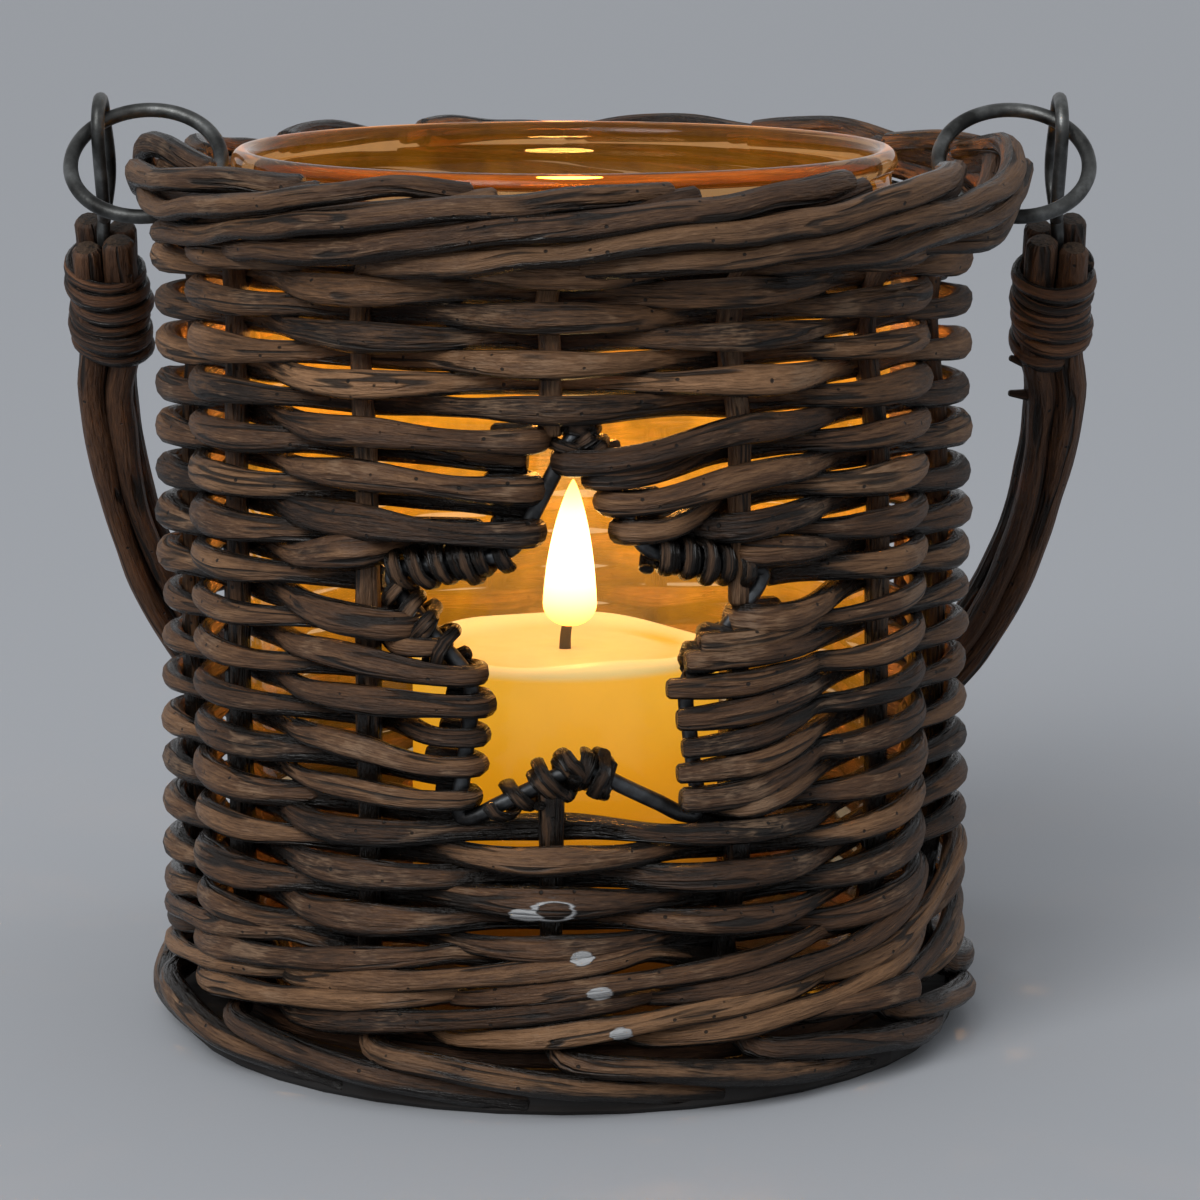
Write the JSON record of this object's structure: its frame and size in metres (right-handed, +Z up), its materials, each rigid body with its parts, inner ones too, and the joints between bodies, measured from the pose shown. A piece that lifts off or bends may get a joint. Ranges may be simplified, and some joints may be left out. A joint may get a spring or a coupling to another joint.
{
  "type": "wicker candle lantern",
  "caption": "Round willow basket lantern with a wire-framed star window, a lift-out glass jar holding a pillar candle, and a bound willow bail handle swinging on wire rim rings.",
  "frame": {"origin": "middle of the base board's underside", "axes": "+Z up, the star window faces -Y, the handle's pivot line runs along X"},
  "size_m": [0.1704, 0.1511, 0.1493],
  "materials": {
    "willow": "grey-brown washed willow rods, matte",
    "handle_willow": "brown willow with its bark, satin",
    "steel_wire": "dull galvanised wire",
    "plywood": "plain plywood",
    "clear_glass": "clear, polished",
    "wax": "smooth candle wax",
    "wick_cotton": "charred cotton"
  },
  "bodies": {
    "basket": {"base_board": "plywood", "stake_01_lower": "willow", "stake_01_upper": "willow", "stake_02_lower": "willow", "stake_02_upper": "willow", "stake_03": "willow", "stake_04": "willow", "stake_05": "willow", "stake_06": "willow", "stake_07": "willow", "stake_08": "willow", "stake_09": "willow", "stake_10": "willow", "stake_11": "willow", "stake_12": "willow", "stake_13": "willow", "wale_band": "willow", "lower_weave": "willow", "star_weave_lower": "willow", "star_weave_middle": "willow", "star_weave_upper": "willow", "upper_weave": "willow", "star_wire": "steel_wire"},
    "handle": {"handle_rod_1": "handle_willow", "handle_rod_2": "handle_willow", "handle_rod_3": "handle_willow", "handle_rod_4": "handle_willow", "handle_wrap_left": "handle_willow", "handle_wrap_right": "handle_willow", "handle_eye_left": "steel_wire", "handle_eye_right": "steel_wire"},
    "left_ring": {"rim_ring_left": "steel_wire"},
    "right_ring": {"rim_ring_right": "steel_wire"},
    "jar": {"glass_jar": "clear_glass"},
    "candle": {"candle": "wax", "wick": "wick_cotton"}
  },
  "joints": [
    {"name": "handle_swing", "type": "hinge", "parent": "basket", "child": "handle", "pos_m": [0.0025, 0.00692, 0.14435], "axis": [1, 0, 0], "range_deg": [0, 245]},
    {"name": "left_ring_turn", "type": "hinge", "parent": "basket", "child": "left_ring", "pos_m": [-0.0667, 0, 0.13855], "axis": [0, -0.6428, 0.766], "continuous": true},
    {"name": "right_ring_turn", "type": "hinge", "parent": "basket", "child": "right_ring", "pos_m": [0.0717, 0, 0.13855], "axis": [0, -0.6428, 0.766], "continuous": true},
    {"name": "jar_lift", "type": "slide", "parent": "basket", "child": "jar", "axis": [0, 0, 1], "range_m": [0, 0.15]},
    {"name": "candle_lift", "type": "slide", "parent": "jar", "child": "candle", "axis": [0, 0, 1], "range_m": [0, 0.14]}
  ]
}
